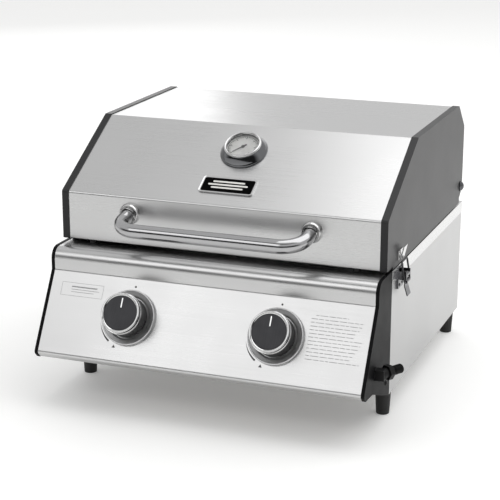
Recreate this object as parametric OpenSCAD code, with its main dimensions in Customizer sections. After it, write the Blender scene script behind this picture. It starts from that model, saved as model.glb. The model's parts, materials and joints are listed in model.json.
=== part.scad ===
// Tabletop gas barbecue grill with two burners.
// The ground is z = 0, the front is -Y, and the origin is below the middle of the whole object.
// Everything is drawn with x = 0 in the middle of the lid and y = 0 on the lid's upright
// front face, and place() then puts the middle of the whole object over the origin.

/* [Body] */
// Outside width of the body and of the lid
body_w = 490; // [430:1:560]
// Depth from the lid's front face to the back of the body
body_d = 444; // [400:1:500]
// Height of the body's bottom edge above the ground
ground_gap = 37; // [30:1:60]
// Height of the body's top rim above the ground
rim_z = 218; // [206:1:250]
// Thickness of the stainless sheet
sheet_t = 1.2; // [0.8:0.1:1.6]
// How far the body's side starts behind the lid's front face
side_front_y = 27; // [22:1:32]
// Height of the folded strip round the top of the body
rim_h = 18; // [12:1:24]
// Thickness of the rim strip
rim_t = 0.8; // [0.6:0.1:1.2]

/* [Lid] */
// Gap between the body's rim and the lid's bottom edge
lid_gap = 5.5; // [4:0.5:10]
// Height of the lid's upright front panel
lid_front_h = 71; // [60:1:90]
// Angle of the lid's sloping front panel above the level
lid_slope_a = 30; // [25:1:35]
// Depth of the sloping front panel
lid_slope_d = 149; // [130:1:165]
// How far the lid's back stays in from the back of the body
lid_back_in = 3.5; // [2:0.5:8]
// Depth of the chamfer between the lid's top and its back
lid_chamfer_d = 41; // [30:1:50]
// Height of that chamfer
lid_chamfer_h = 38; // [30:1:50]
// Width of the dark rim of each end panel, seen from the front
end_rim_w = 10.5; // [8:0.5:14]
// Thickness of the folded rim of each end panel
end_rim_t = 1.2; // [0.8:0.1:1.6]
// Thickness of each end panel
end_plate_t = 1.5; // [1:0.1:2]

/* [Lid hinge] */
// Height of the pivot above the body's rim
pivot_up = 28; // [26:1:34]
// Distance of the pivot in front of the lid's back
pivot_in = 11.5; // [11:0.5:14]
// Radius of the pivot bolts
pivot_r = 4; // [3:0.5:5]
// Running clearance round each pivot bolt
pivot_clear = 0.05; // [0.02:0.01:0.1]

/* [Handle] */
// Distance between the centres of the handle's two feet
handle_span = 274; // [220:2:320]
// Outside radius of the handle tube
handle_r = 10; // [8:0.5:12]
// Wall of the handle tube
handle_wall = 1.5; // [1:0.1:2.5]
// Radius of the tube's bends, along its middle
handle_bend_r = 32; // [24:1:44]
// How far the middle of the bar stands off the lid
handle_reach = 55; // [48:1:65]
// Angle at which the handle drops away from the lid
handle_drop_a = 9.5; // [4:0.5:15]
// Height of the handle's feet above the lid's bottom edge
handle_up = 46; // [36:1:52]

/* [Control panel] */
// How far the panel's level top reaches in front of the lid
panel_top_d = 37; // [34:1:50]
// Height of the upright stretch under the level top
panel_up_h = 32; // [26:1:40]
// Angle of the sloping control panel above the level
panel_a = 60; // [55:1:66]
// Height of the control panel's bottom bend above the ground
panel_foot_z = 79; // [72:1:90]
// Radius of the bend at the panel's top edge
panel_top_r = 16; // [10:1:20]
// Thickness of each end cap
cap_t = 5; // [4:0.5:8]
// How far the end caps stand proud of the panel
cap_proud = 0.8; // [0.5:0.1:1.5]

/* [Knobs] */
// Distance of each knob from the middle of the grill
knob_x = 110; // [90:1:130]
// Distance of the knob's centre below the panel's crease, along the slope
knob_down = 57.5; // [50:0.5:66]
// Radius of the knob's skirt
knob_r = 29; // [26:0.5:31]
// Radius of the knob's chrome front ring
knob_face_r = 28.5; // [22:0.5:29]
// Height of the knob's front above the panel
knob_h = 36; // [30:1:42]
// Outside radius of the bezel round the knob
bezel_r = 40; // [37:0.5:44]
// How far the knob is pushed in before it turns
push_travel = 4; // [2:0.5:5]
// Radius of the valve spindle
spindle_r = 4; // [3:0.5:5]
// Running clearance of the spindle and of the plug
valve_clear = 0.05; // [0.02:0.01:0.1]

/* [Thermometer and badge] */
// Distance of the thermometer's centre up the sloping panel
thermo_up = 113.5; // [90:0.5:125]
// Radius of the thermometer's flange
thermo_r = 35; // [29:0.5:36]
// Height of the thermometer above the lid
thermo_h = 16; // [12:0.5:20]
// Width of the badge
badge_w = 82; // [60:1:100]
// Height of the badge, along the slope
badge_h = 33; // [24:1:40]
// Distance of the badge's centre up the sloping panel
badge_up = 40; // [30:0.5:48]

/* [Feet] */
// Distance of the feet's centres in from the side
foot_in = 14; // [13:0.5:20]
// Radius of each foot at its top
foot_top_r = 11.5; // [9:0.5:14]
// Radius of each foot at the ground
foot_ground_r = 9.5; // [7:0.5:12]

/* [Firebox] */
// Gap between the firebox and the body's side
firebox_side_gap = 18; // [17.5:0.5:24]
// Depth of the ledge's step that carries the cooking grates
ledge_w = 12; // [8:1:16]
// Depth of the cooking grates below the rim
grate_down = 14; // [12:1:20]
// Width of one grate bar
bar_w = 5; // [4:0.5:7]
// Height of one grate bar
bar_h = 8; // [6:0.5:10]
// Height of the burner's middle above the ground
burner_z = 120; // [114:1:128]
// Outside radius of each burner tube
burner_r = 12.5; // [10:0.5:14]
// Width of the drip tray
tray_w = 360; // [300:1:380]
// Height of the drip tray's walls
tray_h = 26; // [18:1:28]

/* [Gas inlet] */
// Height of the gas pipe above the ground
pipe_z = 94; // [90:1:98]
// Distance of the gas pipe in front of the lid's front face
pipe_y = 46; // [44:1:50]
// Radius of the threaded spigot, a quarter-inch gas thread
spigot_r = 6.58; // [6.58]
// Length of the threaded spigot
spigot_l = 20; // [14:1:24]
// Angle at which the spigot turns out from the side
spigot_turn = 30; // [20:1:35]

/* [Latches] */
// Distance of the latches behind the lid's front face
latch_y = 65; // [60:1:110]
// Length of the latch lever below its pin
lever_l = 29; // [24:1:40]
// How far the lever's tip stands out from the side
lever_reach = 15; // [14:0.5:20]
// Radius of the bail's wire
wire_r = 1.3; // [1:0.1:1.6]

/* [Hidden] */

$fn = 64;
steel = [0.80, 0.80, 0.79];
chrome = [0.86, 0.87, 0.88];
dark = [0.22, 0.22, 0.23];
black = [0.06, 0.06, 0.06];
brass = [0.78, 0.62, 0.30];
iron = [0.12, 0.12, 0.13];
white = [0.93, 0.93, 0.91];

gap = 0.3;
half_w = body_w / 2;

// The lid's outline, from its front bottom edge over the top to the back
lid_z = rim_z + lid_gap;
lid_back_y = body_d - lid_back_in;
lid_bend_z = lid_z + lid_front_h;
lid_top_z = lid_bend_z + lid_slope_d * tan(lid_slope_a);
lid_tail_z = rim_z + 22;
pivot = [lid_back_y - pivot_in, rim_z + pivot_up];
lid_line = [[0, lid_z], [0, lid_bend_z], [lid_slope_d, lid_top_z],
            [lid_back_y - lid_chamfer_d, lid_top_z + 1],
            [lid_back_y, lid_top_z - lid_chamfer_h], [lid_back_y, lid_tail_z]];
lid_radii = [5, 4, 8, 8];
// The rim and the skin's ends stop here so that they turn past the hinge brackets
skin_tail_z = rim_z + 14;
notch_z = pivot[1] + 16;
notch_w = 20;
notch_gap = 1;

skin_ends = concat([for (i = [0 : 4]) lid_line[i]], [[lid_back_y, skin_tail_z]]);
skin_line = moved(skin_ends, -end_rim_t);
skin_y = end_rim_t;

// The control panel's outer line, from its back edge over the top and down to its lip
crease = [-panel_top_d, rim_z - panel_up_h];
panel_tip = [crease[0] - (crease[1] - panel_foot_z) / tan(panel_a), panel_foot_z];
panel_back_y = 38;
lip_drop = 8.5;
lip_run = 8.5;
panel_line = [[panel_back_y, rim_z], [-panel_top_d, rim_z], crease, panel_tip,
              panel_tip + [lip_run, -lip_drop], panel_tip + [lip_run + 12, -lip_drop]];
panel_radii = [panel_top_r, 5, 5, 4];

// Knob places on the sloping panel
knob_at = crease + knob_down * [-cos(panel_a), -sin(panel_a)];
ring_gap = 2;
ring_h = 3;
ring_edge = 1;

// The firebox
box_half_w = half_w - firebox_side_gap;
box_front_y = 40;
box_back_y = body_d - 16;
box_lip = 6;
ledge_z = rim_z - grate_down;
box_floor_z = 110;
box_drain_z = 84;

// The drip tray
tray_z = 44;
tray_front_y = 70;
tray_back_y = body_d + gap;
tray_wall = 1;
tray_face_t = 1.5;
tray_pull = 12;
tray_pull_w = 120;
tray_face_lap = 8;
tray_slot_clear = 2;

// The latch, as distances out from the side and heights
latch_pivot_s = 9;
latch_pivot_z = rim_z - 14;
latch_half_w = 11;
bail_foot = [11.5, latch_pivot_z - 9];
bail_top = [6.5, lid_z + 1.2];
bail_bend_r = 3;
keeper_z = lid_z + 3;
keeper_lip_s = 8.5;
keeper_lip_h = 19;

// The gas inlet outside the right end cap
cap_x = half_w + 0.5;
elbow_x = cap_x + 6.5;
elbow_r = 7.5;
elbow_l = 11;
pipe_r = 8;
nut_r = 11;
nut_l = 8;
inlet_reach = elbow_x + (elbow_l + nut_l + spigot_l) * sin(spigot_turn)
  + spigot_r * cos(spigot_turn) - half_w;

// The whole object reaches from the knob's ring to the drip tray's pull, and from the left
// lever's tip to the gas inlet
front_reach = knob_h * sin(panel_a) + (knob_face_r - ring_edge) * cos(panel_a) - knob_at[0];
back_reach = tray_back_y + tray_face_t + tray_pull;
middle_y = (back_reach - front_reach) / 2;
middle_x = (inlet_reach - lever_reach) / 2;

// Outlines

function unit(v) = v / norm(v);
function left_of(v) = [-v[1], v[0]];
function turned(v, a) = [v[0] * cos(a) - v[1] * sin(a), v[0] * sin(a) + v[1] * cos(a)];
function reversed(list) = [for (i = [len(list) - 1 : -1 : 0]) list[i]];
function cross_z(u, v) = u[0] * v[1] - u[1] * v[0];

// The arc that rounds corner b on the way from a to c
function bend(a, b, c, r, steps = 6) =
  let (u = unit(a - b), v = unit(c - b), half = acos(u * v) / 2,
       centre = b + unit(u + v) * r / sin(half),
       start = b + u * r / tan(half) - centre,
       sweep = (180 - 2 * half) * sign(cross_z(u, v)))
  [for (i = [0 : steps]) centre + turned(start, -sweep * i / steps)];

// A line of straight stretches with rounded corners
function bent(line, radii) = concat(
  [line[0]],
  [for (i = [1 : len(line) - 2]) each bend(line[i - 1], line[i], line[i + 1], radii[i - 1])],
  [line[len(line) - 1]]);

// The same line moved to its left by d
function moved(line, d) = [for (i = [0 : len(line) - 1])
  let (before = unit(line[max(i, 1)] - line[max(i, 1) - 1]),
       last = len(line) - 1,
       after = unit(line[min(i, last - 1) + 1] - line[min(i, last - 1)]),
       m = unit(left_of(before) + left_of(after)))
  line[i] + m * d / (m * left_of(before))];

function strip(line, t) = concat(line, reversed(moved(line, t)));

// Placing

module place() translate([-middle_x, -middle_y, 0]) children();

// A (y, z) outline made into a bar along X
module bar_x(points, w, x = 0)
  translate([x, 0, 0]) rotate([90, 0, 90])
    linear_extrude(height = w, center = true) polygon(points);

// A box from its low corner to its high corner
module block(low, high) translate(low) cube(high - low);

// On the sloping control panel, Z out of its face and Y up the slope
module on_panel(x)
  translate([x, knob_at[0], knob_at[1]]) rotate([panel_a, 0, 0]) children();

// On the lid's sloping panel, Z out of its face and Y up the slope
module on_lid_slope(up)
  translate([0, skin_line[1][0], skin_line[1][1]])
    rotate([lid_slope_a, 0, 0]) translate([0, up, 0]) children();

// A cylinder along X from x = low to x = high
module rod_x(r, low, high, y, z)
  translate([low, y, z]) rotate([0, 90, 0]) cylinder(r = r, h = high - low);

// A cylinder along Y
module rod_y(r, low, high, x, z)
  translate([x, low, z]) rotate([-90, 0, 0]) cylinder(r = r, h = high - low);

module both_sides() {
  children();
  mirror([1, 0, 0]) children();
}

module rounded_plate(w, h, r, t)
  linear_extrude(height = t)
    polygon([for (k = [0 : 3])
      let (cx = (k == 0 || k == 3 ? 1 : -1) * (w / 2 - r), cy = (k < 2 ? 1 : -1) * (h / 2 - r))
      for (i = [0 : 6]) [cx, cy] + r * [cos(90 * k + 15 * i), sin(90 * k + 15 * i)]]);

// A round-topped head of radius r and height h
module dome(r, h) {
  ball = (r * r + h * h) / (2 * h);
  intersection() {
    translate([0, 0, h - ball]) sphere(r = ball);
    cylinder(r = r, h = h);
  }
}

// Body

floor_top = ground_gap + 2 * sheet_t;
foot_x = half_w - foot_in;
foot_front_y = 48;
foot_back_in = 19;
foot_back_y = body_d - foot_back_in;
foot_screw_r = 2.4;
foot_screw_l = 12;
foot_hole_clear = 0.2;
flange_front_d = 14;
flange_back_d = 20;
foot_places = [for (x = [-foot_x, foot_x], y = [foot_front_y, foot_back_y]) [x, y, ground_gap]];
bracket_in = 9.5;
bracket_x = half_w - bracket_in;
bracket_t = 2;
bracket_half_d = 9;
bracket_leaf_h = 40;
bracket_drop = 40;
vent_count = 9;
vent_pitch = 44;
vent_w = 30;
vent_h = 6;
vent_down = 44;
lid_vent_up = 14;
cut = 1;

// The row of vents in the middle of a back wall that ends at y, from the height z
module vents(y, z)
  for (i = [0 : vent_count - 1]) {
    middle = (i + 0.5 - vent_count / 2) * vent_pitch;
    block([middle - vent_w / 2, y - 3 * sheet_t, z], [middle + vent_w / 2, y + cut, z + vent_h]);
  }

module body_shell() color(steel) place() difference() {
  union() {
    both_sides() {
      block([half_w - sheet_t, side_front_y, ground_gap], [half_w, body_d, rim_z - rim_t]);
      block([half_w - 2 * foot_in, side_front_y, ground_gap],
            [half_w, body_d, ground_gap + sheet_t]);
    }
    block([-half_w, body_d - sheet_t, ground_gap], [half_w, body_d, rim_z - rim_t]);
    block([-half_w, body_d - flange_back_d, ground_gap],
          [half_w, body_d, ground_gap + sheet_t]);
    block([-half_w, side_front_y, ground_gap],
          [half_w, side_front_y + flange_front_d, ground_gap + sheet_t]);
  }
  tray_opening();
  vents(body_d, rim_z - vent_down);
  for (p = foot_places)
    translate(p - [0, 0, cut])
      cylinder(r = foot_screw_r + foot_hole_clear, h = sheet_t + 2 * cut);
}

module tray_opening()
  block([-tray_w / 2 - tray_slot_clear, body_d - 2 * sheet_t, tray_z - tray_slot_clear],
        [tray_w / 2 + tray_slot_clear, body_d + 1, tray_z + tray_h + tray_slot_clear]);

// An angle strip over the walls' top, open at the front, notched for the hinge brackets
module rim_frame() color(steel) place() difference() {
  low = rim_z - rim_h;
  flange_x = box_half_w + sheet_t + gap;
  union() {
    both_sides() {
      block([half_w, side_front_y, low], [half_w + rim_t, body_d + rim_t, rim_z]);
      block([flange_x, panel_back_y + gap, rim_z - rim_t], [half_w + rim_t, body_d, rim_z]);
      block([half_w - sheet_t, side_front_y, rim_z - rim_t], [half_w + rim_t, body_d, rim_z]);
    }
    block([-half_w - rim_t, body_d, low], [half_w + rim_t, body_d + rim_t, rim_z]);
    block([-half_w, box_back_y + gap, rim_z - rim_t], [half_w, body_d + rim_t, rim_z]);
  }
  both_sides()
    block([bracket_x - notch_gap, pivot[0] - bracket_half_d - notch_gap, low],
          [bracket_x + bracket_t + notch_gap, pivot[0] + bracket_half_d + notch_gap, rim_z + cut]);
}

slot_columns = 6;
slot_pitch_x = 60;
slot_first_y = 110;
slot_pitch_y = 90;
slot_back_in = 64;
slot_l = 40;
slot_w = 8;
foot_head_r = 4.5;
foot_head_room = 6;

module floor_panel() color(steel) place() difference() {
  block([-half_w + sheet_t, side_front_y + sheet_t, ground_gap + sheet_t],
        [half_w - sheet_t, body_d - sheet_t, floor_top]);
  for (i = [0 : slot_columns - 1], y = [slot_first_y : slot_pitch_y : body_d - slot_back_in]) {
    x = (i + 0.5 - slot_columns / 2) * slot_pitch_x;
    block([x - slot_l / 2, y, ground_gap], [x + slot_l / 2, y + slot_w, floor_top + cut]);
  }
  for (p = foot_places) translate(p) cylinder(r = foot_head_room, h = 3 * sheet_t);
}

wall_hole_clear = 1;
drain_half_w = 30;
drain_half_d = 40;

module front_wall() color(steel) place() difference() {
  block([-half_w + sheet_t, side_front_y, ground_gap + sheet_t],
        [half_w - sheet_t, side_front_y + sheet_t, rim_z - sheet_t]);
  burner_holes(burner_r + wall_hole_clear);
  sleeve_holes();
}

module burner_holes(r)
  for (x = [-knob_x, knob_x]) rod_y(r, side_front_y - 1, box_front_y + 3, x, burner_z);

module sleeve_holes()
  for (x = [-knob_x, knob_x])
    rod_y(sleeve_r, side_front_y - 1, box_front_y + 3, x, sleeve_z);

module feet() color(black) place()
  for (p = foot_places)
    translate([p[0], p[1], 0]) difference() {
      cylinder(r1 = foot_ground_r, r2 = foot_top_r, h = ground_gap);
      translate([0, 0, ground_gap - foot_screw_l - 2])
        cylinder(r = foot_screw_r, h = foot_screw_l + 2 + cut);
    }

module foot_screws() color(steel) place()
  for (p = foot_places)
    translate(p) {
      translate([0, 0, -foot_screw_l]) cylinder(r = foot_screw_r, h = foot_screw_l + sheet_t);
      translate([0, 0, sheet_t]) dome(foot_head_r, 2.8);
    }

// Firebox

box_half_line = [[box_half_w + box_lip, rim_z + sheet_t], [box_half_w, rim_z + sheet_t],
                 [box_half_w, ledge_z], [box_half_w - ledge_w, ledge_z],
                 [box_half_w - ledge_w, box_floor_z]];
box_line = concat([for (p = box_half_line) [-p[0], p[1]]], [[0, box_drain_z]],
                  reversed(box_half_line));

module along_y(points, y0, y1)
  translate([0, y1, 0]) rotate([90, 0, 0]) linear_extrude(height = y1 - y0) polygon(points);

module firebox() color(steel) place() difference() {
  union() {
    along_y(strip(box_line, -sheet_t), box_front_y, box_back_y);
    for (y = [box_front_y, box_back_y - sheet_t])
      along_y([for (p = moved(box_line, -sheet_t)) if (abs(p[0]) < box_half_w + 2) p],
              y, y + sheet_t);
    block([-box_half_w - box_lip, box_front_y - box_lip, rim_z],
          [box_half_w + box_lip, box_front_y + sheet_t, rim_z + sheet_t]);
    block([-box_half_w - box_lip, box_back_y - sheet_t, rim_z],
          [box_half_w + box_lip, box_back_y + box_lip, rim_z + sheet_t]);
    for (y = [box_front_y, box_back_y - ledge_w])
      block([-box_half_w, y, ledge_z - sheet_t], [box_half_w, y + ledge_w, ledge_z]);
  }
  burner_holes(burner_r);
  sleeve_holes();
  block([-drain_half_w, body_d / 2 - drain_half_d, box_drain_z - 20],
        [drain_half_w, body_d / 2 + drain_half_d, box_drain_z + 12]);
}

burner_front_y = -8;
burner_back_in = 32;
burner_back_y = box_back_y - burner_back_in;
burner_wall = 1.2;
port_pitch = 14;
port_w = 3;
port_in = 20;
tab_half_w = 8;

module burner(x) color(steel) place() {
  difference() {
    rod_y(burner_r, burner_front_y, burner_back_y, x, burner_z);
    rod_y(burner_r - burner_wall, burner_front_y - 1, burner_back_y - burner_wall, x, burner_z);
    for (y = [box_front_y + port_in : port_pitch : burner_back_y - port_in])
      block([x - burner_r - cut, y, burner_z + 2],
            [x + burner_r + cut, y + port_w, burner_z + 2 + port_w]);
  }
  block([x - tab_half_w, burner_back_y - burner_wall, burner_z - 1],
        [x + tab_half_w, box_back_y - sheet_t, burner_z + 1]);
}
module burner_left() burner(-knob_x);
module burner_right() burner(knob_x);

sleeve_r = 3.5;
sleeve_z = burner_z + burner_r + 9;
electrode_r = 1;
electrode_tip_y = box_front_y + 36;

module electrode_sleeves() color(white) place()
  for (x = [-knob_x, knob_x]) difference() {
    rod_y(sleeve_r, side_front_y - 8, box_front_y + 20, x, sleeve_z);
    rod_y(electrode_r, side_front_y - 9, box_front_y + 21, x, sleeve_z);
  }

module electrodes() color(steel) place()
  for (x = [-knob_x, knob_x]) {
    rod_y(electrode_r, side_front_y - 14, electrode_tip_y, x, sleeve_z);
    translate([x, electrode_tip_y - electrode_r, sleeve_z - 5]) cylinder(r = electrode_r, h = 5);
  }

tamer_half_w = 32;
tamer_low = 30;
tamer_high = 52;

module flame_tamers() color(steel) place()
  for (x = [-knob_x, knob_x])
    translate([x, 0, burner_z])
      along_y(strip([[-tamer_half_w, tamer_low], [0, tamer_high], [tamer_half_w, tamer_low]],
                    -sheet_t), box_front_y + sheet_t, box_back_y - sheet_t);

grate_clear = 1.5;
bar_pitch = 17;

// side is -1 for the left grate and 1 for the right one
module grate(side) color(iron) place() {
  w = box_half_w - 2 * grate_clear;
  y0 = box_front_y + sheet_t + grate_clear;
  y1 = box_back_y - sheet_t - grate_clear;
  count = floor((w - bar_w) / bar_pitch);
  pitch = (w - bar_w) / count;
  for (i = [0 : count]) {
    x = grate_clear + i * pitch;
    block([side > 0 ? x : -x - bar_w, y0, ledge_z],
          [side > 0 ? x + bar_w : -x, y1, ledge_z + bar_h]);
  }
  for (y = [y0, (y0 + y1 - bar_w) / 2, y1 - bar_w])
    block([side > 0 ? grate_clear : -grate_clear - w, y, ledge_z],
          [side > 0 ? grate_clear + w : -grate_clear, y + bar_w, ledge_z + bar_h - 1]);
}
module grate_left() grate(-1);
module grate_right() grate(1);

module drip_tray() color(steel) place() {
  difference() {
    block([-tray_w / 2, tray_front_y, tray_z], [tray_w / 2, tray_back_y, tray_z + tray_h]);
    block([-tray_w / 2 + tray_wall, tray_front_y + tray_wall, tray_z + tray_wall],
          [tray_w / 2 - tray_wall, tray_back_y + 1, tray_z + tray_h + 1]);
  }
  block([-tray_w / 2 - tray_face_lap, tray_back_y, tray_z - 5],
        [tray_w / 2 + tray_face_lap, tray_back_y + tray_face_t, tray_z + tray_h + 6]);
  block([-tray_pull_w / 2, tray_back_y, tray_z + tray_h - 4],
        [tray_pull_w / 2, tray_back_y + tray_face_t + tray_pull, tray_z + tray_h - 2]);
}

rail_up = 12;
rail_foot_w = 14;
rail_shelf_w = 11;

module tray_rails() color(steel) place() both_sides() {
  x = tray_w / 2 + 1;
  y0 = tray_front_y - 8;
  y1 = body_d - sheet_t - gap;
  shelf_z = tray_z - gap;
  block([x, y0, floor_top], [x + sheet_t, y1, tray_z + rail_up]);
  block([x, y0, floor_top], [x + rail_foot_w, y1, floor_top + sheet_t]);
  block([x - rail_shelf_w, y0, shelf_z - sheet_t], [x + sheet_t, y1, shelf_z]);
}

// Control panel

panel_bent = bent(panel_line, panel_radii);
panel_half_w = cap_x - cap_t;
cap_back_y = side_front_y - 1;
// The lower edge of each cap, under the panel's lip and back to the body's bottom edge
cap_low_line = [[crease[0] - 20, ground_gap + 31], [crease[0] + 20, ground_gap + 15],
                [cap_back_y, ground_gap - 0.5]];
cap_outline = concat(moved(panel_bent, -cap_proud), cap_low_line, [[cap_back_y, rim_z + cap_proud]]);
spindle_hole_clear = 2;
cap_screw_r = 2;
cap_screw_l = 12;
cap_screw = [7, ground_gap + 25];

module control_panel() color(steel) place() difference() {
  bar_x(strip(panel_bent, sheet_t), 2 * panel_half_w);
  for (x = [-knob_x, knob_x])
    on_panel(x) translate([0, 0, -5]) cylinder(r = spindle_r + spindle_hole_clear, h = 10);
}

module panel_cap(side) color(dark) place() difference() {
  bar_x([for (p = cap_outline) if (p[0] <= cap_back_y) p], cap_t, side * (cap_x - cap_t / 2));
  if (side > 0) rod_x(pipe_r + gap, panel_half_w - cut, cap_x + cut, -pipe_y, pipe_z);
  both_sides()
    rod_x(cap_screw_r, panel_half_w - cut, cap_x + cut, cap_screw[0], cap_screw[1]);
}
module panel_cap_left() panel_cap(-1);
module panel_cap_right() panel_cap(1);

module cap_screws() color(black) place() both_sides()
  translate([cap_x, cap_screw[0], cap_screw[1]]) rotate([0, 90, 0]) {
    dome(4.2, 2.4);
    translate([0, 0, -cap_screw_l]) cylinder(r = cap_screw_r, h = cap_screw_l);
  }

bumper_in = 45;
bumper_y = 8;
bumper_r = 5;

module lid_bumpers() color(black) place() both_sides()
  translate([half_w - bumper_in, bumper_y, rim_z]) cylinder(r = bumper_r, h = lid_gap - gap);

// Lid hinge

module hinge_brackets() color(steel) place() both_sides() {
  knee_z = rim_z - bracket_drop;
  low_z = knee_z - bracket_leaf_h;
  y0 = pivot[0] - bracket_half_d;
  y1 = pivot[0] + bracket_half_d;
  difference() {
    union() {
      block([bracket_x, y0, knee_z], [bracket_x + bracket_t, y1, pivot[1]]);
      rod_x(bracket_half_d, bracket_x, bracket_x + bracket_t, pivot[0], pivot[1]);
    }
    rod_x(pivot_r, bracket_x - 1, bracket_x + bracket_t + 1, pivot[0], pivot[1]);
  }
  block([bracket_x, y0, knee_z], [half_w - sheet_t, y1, knee_z + bracket_t]);
  block([half_w - sheet_t - bracket_t, y0, low_z], [half_w - sheet_t, y1, knee_z + bracket_t]);
}

// Each bolt has a round head outside the lid, a spacing bush and a nut on the bracket
washer_r = 8.5;
washer_t = 1.2;
bolt_head_r = 7.5;
bolt_nut_t = 5;
bush_wall = 2.5;

module pivot_bolts() color(chrome) place() both_sides() {
  head_x = half_w + gap;
  bush_r = pivot_r + bush_wall;
  rod_x(pivot_r, bracket_x - bolt_nut_t - 2, head_x + washer_t, pivot[0], pivot[1]);
  translate([head_x, pivot[0], pivot[1]]) rotate([0, 90, 0]) {
    cylinder(r = washer_r, h = washer_t);
    translate([0, 0, washer_t]) dome(bolt_head_r, 4.2);
  }
  rod_x(bush_r, bracket_x + bracket_t, half_w - end_plate_t - gap, pivot[0], pivot[1]);
  rod_x(bush_r, bracket_x - bolt_nut_t, bracket_x, pivot[0], pivot[1]);
}

// Lid

skin_lap = 5.5;
skin_fold_d = 13;
end_fold_front_y = 16;
end_fold_back_in = 36;
end_tail_in = 17.5;
end_tail_h = 4.5;
// The end panels drop past the skin's bottom edge and stop this far above the rim
end_rest_gap = 1.2;

module lid_skin() color(steel) place() difference() {
  line = concat([skin_line[0] + [skin_fold_d, 0]], skin_line);
  w = body_w - 2 * end_rim_w + 2 * skin_lap;
  bar_x(strip(bent(line, concat([2], lid_radii)), -sheet_t), w);
  both_sides()
    block([half_w - notch_w, lid_back_y - 8, skin_tail_z - cut],
          [half_w, lid_back_y + cut, notch_z]);
  on_lid_slope(thermo_up) translate([0, 0, -6]) cylinder(r = thermo_thread_r + gap, h = 12);
  for (x = [-handle_span / 2, handle_span / 2])
    rod_y(handle_screw_r, skin_y - cut, skin_y + 4, x, lid_z + handle_up);
  vents(lid_back_y, skin_tail_z + lid_vent_up);
}

module lid_end(side) color(dark) place() {
  x = side * (half_w - end_plate_t / 2);
  rim_ends = concat([for (i = [0 : 4]) lid_line[i]], [[lid_back_y, notch_z]]);
  tail = [[lid_back_y - end_tail_in, lid_z + end_tail_h],
          [lid_back_y - end_tail_in, rim_z + end_rest_gap],
          [side_front_y + end_rest_gap, rim_z + end_rest_gap],
          [side_front_y + end_rest_gap, lid_z]];
  difference() {
    union() {
      bar_x(concat(bent(lid_line, lid_radii), tail), end_plate_t, x);
      bar_x(strip(bent(rim_ends, lid_radii), -end_rim_t), end_rim_w,
            side * (half_w - end_rim_w / 2));
      bar_x([[end_fold_front_y, lid_z], [end_fold_front_y, lid_z + end_rim_t],
             [lid_back_y - end_fold_back_in, lid_z + end_rim_t],
             [lid_back_y - end_fold_back_in, lid_z]],
            end_rim_w, side * (half_w - end_rim_w / 2));
    }
    rod_x(pivot_r + pivot_clear, -half_w - 5, half_w + 5, pivot[0], pivot[1]);
  }
}
module lid_end_left() lid_end(-1);
module lid_end_right() lid_end(1);

// Handle

handle_screw_r = 2.5;
handle_screw_l = 9;
bar_out = handle_reach / cos(handle_drop_a);
leg_l = bar_out - handle_bend_r;
bar_l = handle_span - 2 * handle_bend_r;

// The handle's place: its own -Y runs out along its legs
module at_handle()
  translate([0, skin_y, lid_z + handle_up]) rotate([handle_drop_a, 0, 0]) children();

// The handle's solid of radius r, its legs starting at y = from
module handle_solid(r, from) {
  both_sides() {
    rod_y(r, -leg_l, from, handle_span / 2, 0);
    translate([handle_span / 2 - handle_bend_r, -leg_l, 0])
      rotate([0, 0, -90]) rotate_extrude(angle = 90) translate([handle_bend_r, 0]) circle(r = r);
  }
  rod_x(r, -bar_l / 2, bar_l / 2, -bar_out, 0);
}

module handle_bar() color(chrome) place() difference() {
  at_handle() handle_solid(handle_r, 6);
  at_handle() handle_solid(handle_r - handle_wall, -12);
  block([-half_w, skin_y, lid_z], [half_w, skin_y + 20, lid_bend_z + 20]);
  for (x = [-handle_span / 2, handle_span / 2])
    rod_y(handle_screw_r, skin_y - handle_screw_l, skin_y + cut, x, lid_z + handle_up);
}

rosette_r = 15.5;
rosette_h = 12;

module handle_rosettes() color(chrome) place() difference() {
  for (x = [-handle_span / 2, handle_span / 2])
    translate([x, skin_y, lid_z + handle_up]) rotate([90, 0, 0]) {
      cylinder(r = rosette_r, h = 2);
      translate([0, 0, 2]) dome(rosette_r, rosette_h - 2);
    }
  at_handle() for (x = [-handle_span / 2, handle_span / 2]) rod_y(handle_r, -40, 20, x, 0);
}

module handle_screws() color(steel) place()
  for (x = [-handle_span / 2, handle_span / 2])
    translate([x, skin_y + sheet_t, lid_z + handle_up]) {
      rod_y(handle_screw_r, -sheet_t - handle_screw_l, 0, 0, 0);
      rotate([-90, 0, 0]) cylinder(r = 7, h = 1);
      translate([0, 1, 0]) rotate([-90, 0, 0]) dome(4.8, 3.2);
    }

// Badge

badge_edge = 2.6;
badge_t = 2.2;

module badge_frame() color(chrome) place() on_lid_slope(badge_up) difference() {
  rounded_plate(badge_w, badge_h, 3.5, badge_t);
  translate([0, 0, -1])
    rounded_plate(badge_w - 2 * badge_edge, badge_h - 2 * badge_edge, 2, badge_t + 2);
}

// A plain field with three level bars
module badge_plate() color(black) place() on_lid_slope(badge_up) {
  rounded_plate(badge_w - 2 * badge_edge, badge_h - 2 * badge_edge, 2, 1.4);
  for (i = [-1 : 1])
    translate([0, 6 * i, 0]) rounded_plate(48 - 10 * abs(i), 2.4, 1.2, 1.9);
}

// Thermometer

thermo_thread_r = 5;
thermo_glass_r = 24;
thermo_dial_z = 8;
thermo_glass_z = thermo_h - 4;
needle_pin_r = 0.8;
needle_hole_r = needle_pin_r + valve_clear;
needle_rest_a = 225;
needle_l = 17;

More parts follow.
